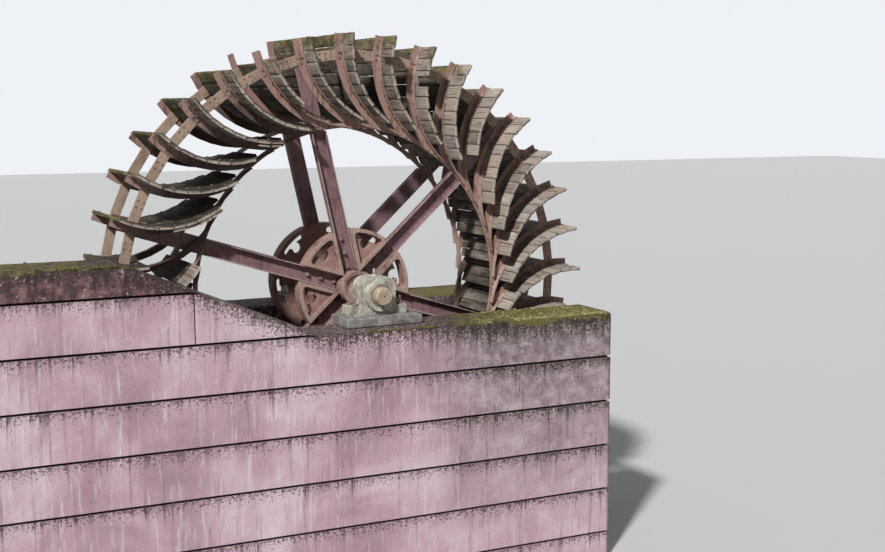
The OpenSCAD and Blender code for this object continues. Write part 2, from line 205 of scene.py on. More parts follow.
# old iron: brown, pink and tan rust in patches, pitted, paler along the rounded edges and on the parts that
# stand out furthest, as wear and as painted highlight; a face that looks along the shaft has its own share of
# red
ironTones = {
    "ribRust": {"dark": (0.110, 0.060, 0.050), "mid": (0.330, 0.228, 0.188),
                "pale": (0.500, 0.385, 0.320),
                "red": (0.300, 0.165, 0.142), "redShare": 0.8, "wornAndHighlit": (0.480, 0.370, 0.310),
                "patch": 3.2, "pits": 170, "spots": 0.6, "streaks": 0.8},
    # a shaded copy of the rib rust: darker overall, with painted shade that deepens inside a radius
    "dampRibRust": {"dark": (0.080, 0.044, 0.038), "mid": (0.300, 0.200, 0.165),
                    "pale": (0.460, 0.345, 0.285),
                    "red": (0.280, 0.165, 0.142), "redShare": 0.8, "wornAndHighlit": (0.440, 0.330, 0.280),
                    "patch": 3.2, "pits": 170, "spots": 0.6, "streaks": 0.8,
                    "dampWithin": (2.12, 2.32), "damp": (0.050, 0.032, 0.028)},
    "ringRust": {"dark": (0.100, 0.062, 0.046), "mid": (0.335, 0.252, 0.188), "pale": (0.510, 0.415, 0.325),
                 "red": (0.320, 0.195, 0.152), "redShare": 0.4, "wornAndHighlit": (0.500, 0.400, 0.310),
                 "patch": 3.4, "pits": 190, "spots": 0.95, "streaks": 0.45},
    "spokeRust": {"dark": (0.070, 0.040, 0.043), "mid": (0.190, 0.108, 0.114), "pale": (0.320, 0.205, 0.205),
                  "red": (0.190, 0.105, 0.112), "redShare": 0.3, "wornAndHighlit": (0.480, 0.370, 0.330),
                  "wornAndHighlitAt": (0.420, 0.4265), "patch": 2.0, "pits": 160, "spots": 0.45, "streaks": 0.6},
    "hubRust": {"dark": (0.100, 0.050, 0.043), "mid": (0.290, 0.165, 0.140), "pale": (0.400, 0.270, 0.230),
                "red": (0.290, 0.160, 0.138), "redShare": 0.2, "wornAndHighlit": (0.420, 0.330, 0.280),
                "wornAndHighlitAt": (0.440, 0.456), "patch": 4.5, "pits": 120, "spots": 0.55, "streaks": 0.4},
    "boltRust": {"dark": (0.060, 0.038, 0.033), "mid": (0.200, 0.132, 0.112), "pale": (0.360, 0.265, 0.220),
                 "red": (0.200, 0.125, 0.108), "redShare": 0.3, "wornAndHighlit": (0.300, 0.220, 0.180),
                 "patch": 9.0, "pits": 240, "spots": 0.2, "streaks": 0.2},
}


def rustedIron(name):
    tone = ironTones[name]
    material, tree, shader = newMaterial(name)
    here = place(tree)
    patches = cloud(tree, here, tone["patch"], 6, 0.62, 0.4)
    fine = cloud(tree, here, tone["patch"] * 14, 5, 0.7)
    both = plus(tree, times(tree, patches, 0.6), times(tree, fine, 0.4))
    rust = ramp(tree, both, [(0.35, tone["dark"]), (0.46, tone["mid"]), (0.64, tone["pale"])])
    onPlane = times(tree, step(tree, facing(tree, "Y"), 0.6, 0.9), tone["redShare"])
    rust = blendColors(tree, times(tree, onPlane, step(tree, both, 0.38, 0.56)), rust, tone["red"])
    # paler rounded edges and outermost faces: partly wear, partly painted highlight
    wornAndHighlit = times(tree, marked(tree, "rounded"), 0.7)
    if "wornAndHighlitAt" in tone:
        outermost = times(tree, step(tree, fromMiddle(tree), *tone["wornAndHighlitAt"]), 0.6)
        wornAndHighlit = sums(tree, "MAXIMUM", wornAndHighlit, outermost)
    rust = blendColors(tree, times(tree, wornAndHighlit, step(tree, both, 0.36, 0.52)), rust, tone["wornAndHighlit"])
    streaks = cloud(tree, place(tree, (9, 9, 1.2)), 3, 4)
    streaked = times(tree, step(tree, streaks, 0.54, 0.70), tone["streaks"])
    rust = blendColors(tree, streaked, rust, tone["dark"])
    spots = step(tree, cloud(tree, here, 64, 4, 0.7), 0.57, 0.66)
    color = blendColors(tree, times(tree, spots, tone["spots"]), rust, tone["dark"])
    # painted shade: the shaded copy of the rib rust grows darker towards the axle
    if "damp" in tone:
        far = step(tree, plus(tree, fromAxle(tree), times(tree, patches, 0.1)), *tone["dampWithin"])
        wetAndShade = times(tree, sums(tree, "SUBTRACT", 1, far), 0.75)
        color = blendColors(tree, wetAndShade, color, tone["damp"])
    tree.links.new(color, shader.inputs["Base Color"])
    tree.links.new(ramp(tree, fine, [(0.3, 0.95), (0.7, 0.72)]), shader.inputs["Roughness"])
    setInputs(shader, {"Metallic": 0.1, "Specular IOR Level": 0.3})
    pits = cloud(tree, here, tone["pits"], 3, 0.7)
    height = plus(tree, pits, times(tree, fine, 1.6))
    roughen(tree, shader, height, 0.0016, 0.7)
    return material


# boards: tan and grey weathered softwood with dark checks along the grain, olive on their hollow side,
# near-black there and between the rings as damp and painted shade, with lichen near the tips
boardTones = {
    "dark": (0.120, 0.088, 0.067), "mid": (0.325, 0.262, 0.212), "pale": (0.530, 0.450, 0.375),
    "split": (0.045, 0.032, 0.025), "grey": (0.330, 0.292, 0.272), "moss": (0.062, 0.056, 0.022),
    # the near-black tone stands for damp and for painted shade
    "lichen": (0.260, 0.195, 0.062), "damp": (0.014, 0.010, 0.006), "brown": (0.230, 0.160, 0.120),
    "endDark": (0.100, 0.076, 0.060), "endMid": (0.370, 0.305, 0.255), "endPale": (0.580, 0.505, 0.430),
}


def weatheredBoards():
    tone = boardTones
    material, tree, shader = newMaterial("weatheredBoards")
    grain = cloud(tree, place(tree, (34, 1.5, 34)), 2.6, 6, 0.66, 0.5)
    checks = cloud(tree, place(tree, (44, 0.9, 44)), 1.7, 4, 0.55, 0.2)
    patch = cloud(tree, place(tree, (1, 0.6, 1)), 3.2, 4)
    own = marked(tree, "tone")
    value = plus(tree, grain, times(tree, sums(tree, "SUBTRACT", own, 0.45), 0.36))
    wood = ramp(tree, value, [(0.30, tone["dark"]), (0.47, tone["mid"]), (0.66, tone["pale"])])
    wood = blendColors(tree, times(tree, step(tree, patch, 0.42, 0.62), 0.5), wood, tone["grey"])
    wood = blendColors(tree, times(tree, step(tree, own, 0.55, 0.9), 0.5), wood, tone["brown"])
    split = step(tree, checks, 0.60, 0.64)
    wood = blendColors(tree, times(tree, split, 0.7), wood, tone["split"])
    # the ends show growth rings and drying cracks
    isEnd = step(tree, facing(tree, "Y"), 0.72, 0.9)
    rings = cloud(tree, place(tree), 85, 4, 0.7, 1.2)
    endWood = ramp(tree, rings, [(0.34, tone["endDark"]), (0.45, tone["endMid"]), (0.62, tone["endPale"])])
    wood = blendColors(tree, isEnd, wood, endWood)
    # damp with painted shade, moss and lichen where the board is marked for them
    mossy = marked(tree, "moss")
    growth = cloud(tree, place(tree, (1, 0.6, 1)), 6, 6, 0.72, 0.3)
    seam = step(tree, plus(tree, marked(tree, "seam"), times(tree, patch, 0.3)), 0.92, 1.22)
    wood = blendColors(tree, times(tree, seam, 0.75), wood, tone["split"])
    dirt = cloud(tree, place(tree, (1, 0.35, 1)), 7, 6, 0.72, 0.3)
    # damp and painted shade: near-black on the hollow side and between the rings
    wetAndShade = plus(tree, marked(tree, "damp"), times(tree, sums(tree, "SUBTRACT", dirt, 0.5), 1.3))
    wetAndShade = step(tree, wetAndShade, 0.12, 0.95)
    wood = blendColors(tree, times(tree, wetAndShade, 0.95), wood, tone["damp"])
    mossShare = step(tree, plus(tree, growth, times(tree, mossy, 0.30)), 0.62, 0.84)
    wood = blendColors(tree, times(tree, mossShare, 0.85), wood, tone["moss"])
    bloom = cloud(tree, place(tree, (1, 0.5, 1)), 12, 7, 0.78, 0.2)
    lichenShare = step(tree, plus(tree, bloom, times(tree, mossy, 0.13)), 0.62, 0.72)
    color = blendColors(tree, times(tree, lichenShare, 0.75), wood, tone["lichen"])
    tree.links.new(color, shader.inputs["Base Color"])
    setInputs(shader, {"Roughness": 0.9, "Specular IOR Level": 0.2})
    height = sums(tree, "SUBTRACT", grain, times(tree, split, 0.5))
    height = plus(tree, height, times(tree, mossShare, 0.6))
    roughen(tree, shader, height, 0.004, 0.8)
    return material


# painted render over masonry: pink, lilac and white in runs, a dark red-brown raised course,
# black mottled crust under the tops, worn to grey stone at the right-hand end
renderTones = {
    "mauve": (0.350, 0.228, 0.265), "pink": (0.480, 0.325, 0.370), "pale": (0.590, 0.465, 0.500),
    "white": (0.700, 0.640, 0.650), "mould": (0.030, 0.023, 0.020),
    "courseDark": (0.020, 0.011, 0.011), "course": (0.088, 0.041, 0.042),
    "coursePale": (0.220, 0.120, 0.122),
    "stoneDark": (0.080, 0.062, 0.060), "stone": (0.215, 0.175, 0.180), "stonePale": (0.390, 0.335, 0.340),
    "lichen": (0.420, 0.400, 0.340), "moss": (0.050, 0.043, 0.016), "mossPale": (0.190, 0.160, 0.056),
    "crustBrown": (0.115, 0.085, 0.052), "crustPale": (0.300, 0.255, 0.195),
    "joint": (0.016, 0.012, 0.012),
}


def paintedRender():
    tone = renderTones
    material, tree, shader = newMaterial("paintedRender")
    here = place(tree)
    broad = cloud(tree, here, 1.3, 5, 0.6, 0.5)
    blotch = cloud(tree, here, 8.5, 8, 0.78, 0.15)
    runs = cloud(tree, place(tree, (9, 9, 0.5)), 2.4, 6, 0.68, 0.3)
    whiteRuns = cloud(tree, place(tree, (12, 12, 0.9)), 2.0, 6, 0.72, 0.4)
    speck = cloud(tree, here, 38, 6, 0.80)
    near = marked(tree, "nearTop")
    course = marked(tree, "course")
    aged = marked(tree, "aged")
    paint = ramp(tree, broad, [(0.34, tone["mauve"]), (0.50, tone["pink"]), (0.68, tone["pale"])])
    paint = blendColors(tree, times(tree, step(tree, runs, 0.52, 0.66), 0.6), paint, tone["mauve"])
    paint = blendColors(tree, times(tree, step(tree, whiteRuns, 0.53, 0.66), 0.42), paint, tone["white"])
    stone = ramp(tree, blotch, [(0.38, tone["stoneDark"]), (0.50, tone["stone"]), (0.62, tone["stonePale"])])
    paint = blendColors(tree, times(tree, aged, 0.95), paint, stone)
    bricky = ramp(tree, blotch, [(0.43, tone["courseDark"]), (0.51, tone["course"]),
                                 (0.60, tone["coursePale"])])
    paint = blendColors(tree, times(tree, course, 0.92), paint, bricky)
    # crust in specks and drips, thickest under a top edge
    spread = plus(tree, times(tree, near, 0.17), times(tree, aged, 0.05))
    spread = sums(tree, "SUBTRACT", spread, times(tree, course, 0.02))
    crust = step(tree, plus(tree, speck, spread), 0.60, 0.66)
    crumbs = cloud(tree, here, 21, 6, 0.8, 0.4)
    crustTone = ramp(tree, crumbs, [(0.47, tone["mould"]), (0.59, tone["crustBrown"]),
                                    (0.70, tone["crustPale"])])
    crustTone = blendColors(tree, times(tree, course, 0.7), crustTone, tone["mould"])
    paint = blendColors(tree, times(tree, crust, 0.92), paint, crustTone)
    drip = plus(tree, runs, times(tree, near, 0.20))
    drip = step(tree, plus(tree, drip, times(tree, aged, 0.07)), 0.60, 0.80)
    paint = blendColors(tree, times(tree, drip, 0.7), paint, tone["mould"])
    dots = step(tree, cloud(tree, here, 31, 2, 0.5, 0.2), 0.655, 0.70)
    old = sums(tree, "MAXIMUM", course, sums(tree, "MAXIMUM", aged, near))
    paint = blendColors(tree, times(tree, dots, times(tree, old, 0.7)), paint, tone["lichen"])
    mossValue = plus(tree, blotch, times(tree, marked(tree, "mossEdge"), 0.36))
    mossShare = step(tree, mossValue, 0.72, 0.80)
    mossTone = ramp(tree, speck, [(0.35, tone["moss"]), (0.65, tone["mossPale"])])
    paint = blendColors(tree, mossShare, paint, mossTone)
    color = blendColors(tree, marked(tree, "joint"), paint, tone["joint"])
    tree.links.new(color, shader.inputs["Base Color"])
    setInputs(shader, {"Roughness": 0.93, "Specular IOR Level": 0.18})
    height = plus(tree, blotch, times(tree, speck, 0.45))
    roughen(tree, shader, height, 0.012, 0.7)
    return material


# stone, paint, steel and bronze finishes share one recipe with their own tones
plainTones = {
    "slabStone": {"dark": (0.055, 0.046, 0.042), "mid": (0.195, 0.178, 0.172), "pale": (0.370, 0.345, 0.330),
                  "patch": 9, "fine": 90, "bump": 0.005, "rough": 0.9, "lichen": 0.4,
                  "stains": 0.5},
    "dampFloor": {"dark": (0.060, 0.055, 0.046), "mid": (0.150, 0.140, 0.118), "pale": (0.260, 0.245, 0.210),
                  "patch": 2.2, "fine": 30, "bump": 0.008, "rough": 0.85, "lichen": 0.2},
    "bearingPaint": {"dark": (0.100, 0.092, 0.070), "mid": (0.365, 0.352, 0.290),
                     "pale": (0.610, 0.590, 0.510),
                     "patch": 10, "fine": 90, "bump": 0.003, "rough": 0.75, "lichen": 0.35,
                     "stains": 0.7},
    "journalSteel": {"dark": (0.150, 0.090, 0.065), "mid": (0.370, 0.285, 0.215),
                     "pale": (0.600, 0.520, 0.400),
                     "patch": 9, "fine": 110, "bump": 0.0008, "rough": 0.6, "metal": 0.2},
    "oilerPaint": {"dark": (0.120, 0.130, 0.135), "mid": (0.300, 0.330, 0.345), "pale": (0.480, 0.510, 0.520),
                   "patch": 20, "fine": 160, "bump": 0.001, "rough": 0.6, "metal": 0.1, "lichen": 0.2},
    "dullBronze": {"dark": (0.070, 0.052, 0.034), "mid": (0.210, 0.165, 0.105), "pale": (0.360, 0.300, 0.210),
                   "patch": 12, "fine": 110, "bump": 0.0005, "rough": 0.6, "metal": 0.4},
    "mossClump": {"dark": (0.022, 0.020, 0.008), "mid": (0.070, 0.062, 0.018), "pale": (0.170, 0.145, 0.045),
                  "patch": 14, "fine": 160, "bump": 0.004, "rough": 0.95},
    "brightMoss": {"dark": (0.050, 0.040, 0.018), "mid": (0.175, 0.148, 0.052), "pale": (0.400, 0.350, 0.150),
                   "patch": 18, "fine": 140, "bump": 0.004, "rough": 0.95},
}


def plainFinish(name):
    tone = plainTones[name]
    material, tree, shader = newMaterial(name)
    here = place(tree)
    patches = cloud(tree, here, tone["patch"], 6, 0.62, 0.5)
    fine = cloud(tree, here, tone["fine"], 4, 0.7)
    both = plus(tree, times(tree, patches, 0.6), times(tree, fine, 0.4))
    color = ramp(tree, both, [(0.34, tone["dark"]), (0.48, tone["mid"]), (0.64, tone["pale"])])
    if "lichen" in tone:
        spots = step(tree, cloud(tree, here, 26, 5, 0.75, 0.5), 0.58, 0.66)
        color = blendColors(tree, times(tree, spots, tone["lichen"]), color, (0.46, 0.43, 0.24))
    if "stains" in tone:
        runs = step(tree, cloud(tree, place(tree, (14, 14, 5)), 1.6, 6, 0.72, 0.6), 0.52, 0.66)
        color = blendColors(tree, times(tree, runs, tone["stains"]), color, tone["dark"])
    tree.links.new(color, shader.inputs["Base Color"])
    setInputs(shader, {"Roughness": tone["rough"], "Metallic": tone.get("metal", 0.0),
                       "Specular IOR Level": 0.3})
    roughen(tree, shader, plus(tree, patches, fine), tone["bump"], 0.7)
    return material


finishes = {name: rustedIron(name) for name in ironTones}
finishes.update({name: plainFinish(name) for name in plainTones})
finishes["weatheredBoards"] = weatheredBoards()
finishes["paintedRender"] = paintedRender()
print("finishes made:", len(finishes))


# pieces: how a mesh becomes a piece that rides on a body
def addPiece(name, mesh, body, finish, replaced=()):
    piece = bpy.data.objects.new(name, mesh)
    bpy.context.scene.collection.objects.link(piece)
    mesh.materials.clear()
    mesh.materials.append(finishes[finish])
    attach(piece, body)
    if replaced:
        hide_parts(*replaced)
    return piece


def meshFrom(name, points, faces, marks=None, smooth=40):
    mesh = bpy.data.meshes.new(name)
    mesh.from_pydata(points, [], faces)
    for mark, values in (marks or {}).items():
        layer = mesh.attributes.new(mark, "FLOAT", "POINT")
        layer.data.foreach_set("value", values)
    mesh.validate()
    smoothBelow(mesh, smooth)
    return mesh


def joinRings(faces, first, rings, around, flip=False):
    # quads between closed rings of points that follow each other
    for r in range(rings - 1):
        for n in range(around):
            a = first + r * around + n
            b = first + r * around + (n + 1) % around
            quad = (a, a + around, b + around, b) if flip else (a, b, b + around, a + around)
            faces.append(quad)


def smoothBelow(mesh, degrees):
    mesh.shade_smooth()
    mesh.set_sharp_from_angle(angle=math.radians(degrees))


def finishNode(node, finish):
    # a CAD node that shows as it is, with a finish of its own
    mesh = frame["nodes"][node].data
    mesh.materials.clear()
    mesh.materials.append(finishes[finish])


def softened(node, finish, width, segments=2, body="wheel"):
    # a copy of a CAD node with rounded edges, which stands in its place; its flat faces stay flat
    mesh = frame["nodes"][node].data.copy()
    work = bmesh.new()
    work.from_mesh(mesh)
    rounded = work.faces.layers.float.new("rounded")
    bmesh.ops.remove_doubles(work, verts=work.verts, dist=1e-5)
    bmesh.ops.dissolve_limit(work, angle_limit=math.radians(1), verts=work.verts, edges=work.edges)
    sharp = [e for e in work.edges if len(e.link_faces) == 2 and e.calc_face_angle(0) > math.radians(30)]
    made = bmesh.ops.bevel(work, geom=sharp, offset=width, offset_type="OFFSET", segments=segments,
                           profile=0.5, affect="EDGES", clamp_overlap=True)
    for face in made["faces"]:
        face[rounded] = 1.0
    bmesh.ops.triangulate(work, faces=work.faces)
    for face in work.faces:
        face.smooth = True
    for edge in work.edges:
        sides = {face[rounded] for face in edge.link_faces}
        edge.smooth = len(sides) == 1 and edge.calc_face_angle(0) < math.radians(35)
    work.to_mesh(mesh)
    work.free()
    return addPiece(node + "_iron" if body == "wheel" else node + "_cast", mesh, body, finish, [node])


# the wheel's own measures, the same as in the solids
wheel = {
    "tipRadius": 2.5, "paddles": 36, "tipAngle": 2.1, "ringY": 0.375,
    "boards": 8, "innerBoards": 1, "boardWidth": 0.127, "boardThick": 0.033,
    "curveRadius": 0.970, "tipLean": math.radians(3.5),
    "frontEnd": -0.708, "rearEnd": 0.455, "ribPlane": 0.065, "ribFlat": 0.070, "ribThick": 0.008,
    "outerRing": 2.29, "outerRingWidth": 0.10, "innerRing": 1.605, "plate": 0.010,
    "spokes": 6, "spokePaddle": 4, "spokeLead": 0.6, "spokeWidth": 0.154, "spokeEnd": 2.33,
    "slotPlay": 0.003,
}
boardWidth = wheel["boardWidth"]
boardTurn = boardWidth / wheel["curveRadius"]


def heading(i):
    return i * boardTurn - wheel["tipLean"]


def inwards(i):
    # along board i, from the paddle's tip towards its inner end, in the paddle's own frame
    return Vector((-math.cos(heading(i)), -math.sin(heading(i))))


def roundSide(i):
    return Vector((-math.sin(heading(i)), math.cos(heading(i))))


def curvePoint(i):
    # joint i of a paddle's curve, in its own frame: x outwards, y towards its rounded side
    walked = sum((inwards(j) * boardWidth for j in range(i)), Vector((0, 0)))
    return Vector((wheel["tipRadius"], 0)) + walked


def paddleAngle(k):
    return math.radians(wheel["tipAngle"] + k * 360 / wheel["paddles"])


def onWheel(k, flat, y):
    # from a paddle's own frame into the frame that all pieces share
    a = paddleAngle(k)
    x = flat[0] * math.cos(a) - flat[1] * math.sin(a)
    z = flat[0] * math.sin(a) + flat[1] * math.cos(a)
    return (x, y, z + axleZ)


# boards that are gone, broken short, doubled or kept behind a gap, by paddle and board
damage = {
    "firstBoard": {11: 1},
    "lastBoard": {5: 6, 17: 3, 18: 3},
    "overhangGone": {(11, 5), (11, 6), (11, 7)},
    "overhangLeft": {(8, 1): (0, 0.7), (8, 2): (0.3, 1), (7, 2): (0, 0.4), (7, 3): (0.2, 1)},
    "overhangShort": {9: 0.045, 14: 0.075, 13: -0.01, 10: 0.03, 12: 0.015, 17: 0.03},
    "doubled": {16: (4, 8), 13: (6, 8)},
    "innerKept": {18: (6, 8)},
}


def laidBoards(k):
    # the boards that a paddle still has, counted from its tip
    whole = wheel["boards"] + wheel["innerBoards"]
    outer = range(damage["firstBoard"].get(k, 0), damage["lastBoard"].get(k, whole))
    return [*outer, *range(*damage["innerKept"].get(k, (0, 0)))]


boardLook = {
    "seam": 0.0045, "corner": 0.004, "cup": 0.0016, "stations": 16, "endWander": 0.009,
    "edgeWander": 0.0022, "taper": 0.042, "widthSpread": 0.010, "lastWidth": 0.095, "seed": 7,
    "splinter": 0.03, "doubleGap": 0.004, "doubleThick": 0.026, "throughShare": 0.8, "leastLength": 0.02,
    "doubleInset": 0.015, "doubleWander": 0.03, "ribPlay": 0.006, "betweenFrom": -0.44,
    "samples": 40, "cutMargin": 0.004, "tilt": 0.012, "endStep": 0.012, "endJump": 0.03,
    "evenShare": 0.75, "rearWander": 0.008, "breakWander": 0.02, "breakBehind": 0.03,
    "notchPlay": 0.01, "notchEdge": 0.02, "hair": 1e-5, "tipReach": 0.36, "seamReach": 0.25,
    # the wet shares darken a board as damp and as painted shade
    "wetAndShadedInside": 0.99, "wetAndShadedBetween": 0.64, "wetAndShadedUpper": 0.32, "dry": 0.04,
}


def boardCuts(k, i):
    # what ring plates and spoke webs take out of a board: (y from, y to, across from, across to)
    play = wheel["slotPlay"]
    cuts = []

    def spread(inside, margin):
        hits = []
        for n in range(boardLook["samples"] + 1):
            across = boardWidth * n / boardLook["samples"]
            if inside(curvePoint(i) + inwards(i) * across, margin):
                hits.append(across)
        return (min(hits), max(hits)) if hits else None

    def inRing(spot, margin):
        return abs(spot.length - wheel["outerRing"]) < wheel["outerRingWidth"] / 2 + margin

    def inSpoke(spot, margin):
        turn = math.radians(wheel["spokeLead"] + (wheel["spokePaddle"] - k) * 360 / wheel["paddles"])
        gap = 2 * math.pi / wheel["spokes"]
        own = math.atan2(spot.y, spot.x) - turn
        own = (own + gap / 2) % gap - gap / 2
        return spot.length * math.cos(own) < wheel["spokeEnd"] + margin and \
            abs(spot.length * math.sin(own)) < wheel["spokeWidth"] / 2 + margin

    ring = spread(inRing, play + boardLook["cutMargin"])
    spoke = spread(inSpoke, play + boardLook["cutMargin"])
    for side in (-1, 1):
        if ring:
            edges = sorted((side * (wheel["ringY"] + play), side * (wheel["ringY"] - wheel["plate"] - play)))
            cuts.append((*edges, *ring))
        if spoke:
            back = wheel["ringY"] - wheel["plate"]
            edges = sorted((side * (back + play), side * (back - wheel["plate"] - play)))
            cuts.append((*edges, *spoke))
    return cuts


def boardProfile():
    # a board's section: across from 0 to 1, depth from 0 at the rounded side to 1
    r = boardLook["corner"] / boardWidth
    q = boardLook["corner"] / wheel["boardThick"]
    return [(r, 0), (0.28, 0), (0.5, 0), (0.72, 0), (1 - r, 0), (1, q), (1, 0.5), (1, 1 - q),
            (1 - r, 1), (0.72, 1), (0.5, 1), (0.28, 1), (r, 1), (0, 1 - q), (0, 0.5), (0, q)]


def growthOn(k):
    # moss and lichen thrive on the paddles near the top
    return 0.85 if 8 <= k <= 12 else 0.6 if 6 <= k <= 16 else 0.35


def dampAndShadeOn(k, hollow, between):
    # the hollow side and the part between the rings are darkened as wet and as painted shade, the rest by how
    # high it stands
    if hollow and (between or k not in damage["innerKept"]):
        return boardLook["wetAndShadedInside"]
    if between:
        return boardLook["wetAndShadedBetween"]
    return boardLook["wetAndShadedUpper"] if 8 <= k <= 16 else boardLook["dry"]


def loftBoard(draft, k, i, stops, rise, thick, tone, ragged, tilt):
    # one length of board through stops of (y, across from, across to), added to a draft of
    # points, faces and marks; rise is its rounded face
    look = boardLook
    points, faces, marks = draft
    seed = k * 31.7 + i * 7.3
    profile = boardProfile()
    count = len(profile)
    first = len(points)
    for n, (y, u0, u1) in enumerate(stops):
        for s, t in profile:
            lo, hi = u0 + look["seam"] / 2, u1 - look["seam"] / 2
            squeeze = thick * t * math.tan(boardTurn / 2)
            u = lo + squeeze + (hi - lo - 2 * squeeze) * s
            jitter = noise.noise(Vector((u * 9 + seed, y * 5, t * 2 + seed)))
            ripple = noise.noise(Vector((y * 22, seed, s * 6)))
            u += look["edgeWander"] * (jitter + ripple) * (1 if s in (0, 1) else 0.3)
            cup = look["cup"] * (1 - (2 * s - 1) ** 2) * (tone - 0.3)
            h = rise - thick * t - abs(cup) - abs(jitter) * 0.0012
            yy = y + tilt * (u / boardWidth - 0.5)
            if n == 0:
                yy += look["endWander"] * abs(noise.noise(Vector((u * 40, h * 60, seed))))
                yy += ragged * (0.5 + noise.noise(Vector((u * 70, h * 90, seed + 3))))
            yy = min(max(yy, wheel["frontEnd"]), wheel["rearEnd"])
            points.append(onWheel(k, curvePoint(i) + inwards(i) * u + roundSide(i) * h, yy))
            marks["tone"].append(tone)
            marks["seam"].append(max(0.0, 1 - min(s, 1 - s) / look["seamReach"]))
            tipward = max(0.0, 1 - (u + i * boardWidth) / look["tipReach"])
            between = yy > look["betweenFrom"]
            moss = tipward * growthOn(k) + 0.2 * t + 0.1 * tone
            marks["moss"].append(moss + (0.2 if between else 0))
            # this mark carries damp and painted shade
            marks["damp"].append(dampAndShadeOn(k, t > 0.9, between))
    joinRings(faces, first, len(stops), count)
    faces.append(tuple(first + j for j in reversed(range(count))))
    faces.append(tuple(first + (len(stops) - 1) * count + j for j in range(count)))


def evenStops(low, high, u0, u1):
    count = max(3, round(boardLook["stations"] * (high - low)))
    return [(low + (high - low) * n / count, u0, u1) for n in range(count + 1)]


def addBoard(draft, k, i, edges, dice):
    look = boardLook
    u0, u1 = edges[i] - i * boardWidth, edges[i + 1] - i * boardWidth
    tone, tilt = dice.random(), (dice.random() - 0.5) * look["tilt"]
    shortBy = damage["overhangShort"].get(k, 0) * (0.7 + 0.6 * dice.random())
    yFront = wheel["frontEnd"] + shortBy + look["taper"] * i / wheel["boards"] * dice.random() ** 0.4
    yFront += dice.random() * (look["endStep"] if dice.random() < look["evenShare"] else look["endJump"])
    yRear = wheel["rearEnd"] - dice.random() * look["rearWander"]
    behindRib = -wheel["ringY"] - wheel["ribFlat"]
    ragged = 0.0
    if (k, i) in damage["overhangGone"]:
        yFront, ragged = behindRib - look["breakWander"] * dice.random(), look["splinter"]
    spans = [(yFront, yRear)]
    if i >= wheel["boards"]:
        reach = wheel["ringY"] - 2 * wheel["plate"] - 2 * wheel["slotPlay"]
        spans, tilt = [(-reach, reach)], 0.0
    notches = []
    for low, high, a, b in sorted(boardCuts(k, i)) if i < wheel["boards"] else ():
        if b - a > look["throughShare"] * boardWidth:
            last = spans.pop()
            spans += [(last[0], low), (high, last[1])]
        else:
            notches.append((low, high, a, b))
    for part, (low, high) in enumerate(spans):
        if high - low < look["leastLength"]:
            continue
        stops = evenStops(low, high, u0, u1)
        for a0, a1, b0, b1 in notches:
            if low < a0 < high:
                n0, n1 = (b1, u1) if b0 < look["notchEdge"] else (u0, b0)
                near, far = a0 - look["notchPlay"], a1 + look["notchPlay"]
                stops = [stop for stop in stops if not near < stop[0] < far]
                stops += [(a0 - look["hair"], u0, u1), (a0, n0, n1), (a1, n0, n1),
                          (a1 + look["hair"], u0, u1)]
        left = damage["overhangLeft"].get((k, i))
        if left and part == 0:
            n0, n1 = max(u0, left[0] * boardWidth), min(u1, left[1] * boardWidth)
            edge = behindRib - look["breakBehind"]
            stops = [(y, n0, n1) if y < edge else (y, a, b) for y, a, b in stops]
            stops += [(edge - look["hair"], n0, n1), (edge, u0, u1)]
        stops.sort()
        loftBoard(draft, k, i, stops, 0.0, wheel["boardThick"], tone, ragged if part == 0 else 0.0, tilt)


def makePaddles():
    each = wheel["paddles"] // 6
    whole = wheel["boards"] + wheel["innerBoards"]
    look = boardLook
    for sector in range(6):
        draft = ([], [], {"tone": [], "seam": [], "moss": [], "damp": []})
        for k in range(sector * each, (sector + 1) * each):
            dice = random.Random(look["seed"] * 1000 + k)
            laid = laidBoards(k)
            spread = look["widthSpread"]
            edges = [i * boardWidth + (spread * (2 * dice.random() - 1) if 0 < i < whole else 0)
                     for i in range(whole + 1)]
            edges[laid[0]] = laid[0] * boardWidth
            edges[whole] = edges[whole - 1] + look["lastWidth"]
            for i in laid:
                addBoard(draft, k, i, edges, dice)
            for i in range(*damage["doubled"].get(k, (0, 0))):
                # a second layer of short boards that has slipped out on the rounded side
                low = wheel["frontEnd"] + look["doubleInset"] + look["doubleWander"] * dice.random()
                high = -wheel["ringY"] - wheel["ribFlat"] - look["ribPlay"]
                stops = evenStops(low, high, 0, boardWidth)
                rise = look["doubleGap"] + look["doubleThick"]
                loftBoard(draft, k, i, stops, rise, look["doubleThick"], dice.random(), 0.0, 0.01)
        mesh = meshFrom(f"boards_{sector + 1}", *draft, 50)
        addPiece(f"boards_{sector + 1}", mesh, "wheel", "weatheredBoards",
                 [f"paddles_{sector + 1}"])


makePaddles()
print("boards laid")


def makeIron():
    for side in ("front", "rear"):
        for sector in range(1, 7):
            # the third sector's ribs take the shaded copy of the rib rust, which carries painted shade
            finish = "dampRibRust" if sector == 3 else "ribRust"
            softened(f"{side}_ribs_{sector}", finish, 0.0012, 1)
        softened(f"{side}_outer_ring", "ringRust", 0.0014, 1)
        softened(f"{side}_inner_ring", "ringRust", 0.0014, 1)
        for part in (1, 2):
            softened(f"{side}_spokes_{part}", "spokeRust", 0.0022, 2)
        softened(f"{side}_hub", "hubRust", 0.009, 3)


makeIron()
print("ironwork softened")


def makeBearings():
    for side in ("front", "rear"):
        softened(f"{side}_bearing_base", "bearingPaint", 0.004, 2, "root")
        softened(f"{side}_bearing_cap", "bearingPaint", 0.004, 2, "root")
        softened(f"{side}_oiler", "oilerPaint", 0.0015, 2, "root")
        softened(f"{side}_slab", "slabStone", 0.012, 3, "root")
        finishNode(f"{side}_brass", "dullBronze")
    finishNode("shaft", "journalSteel")


makeBearings()
print("bearings finished")


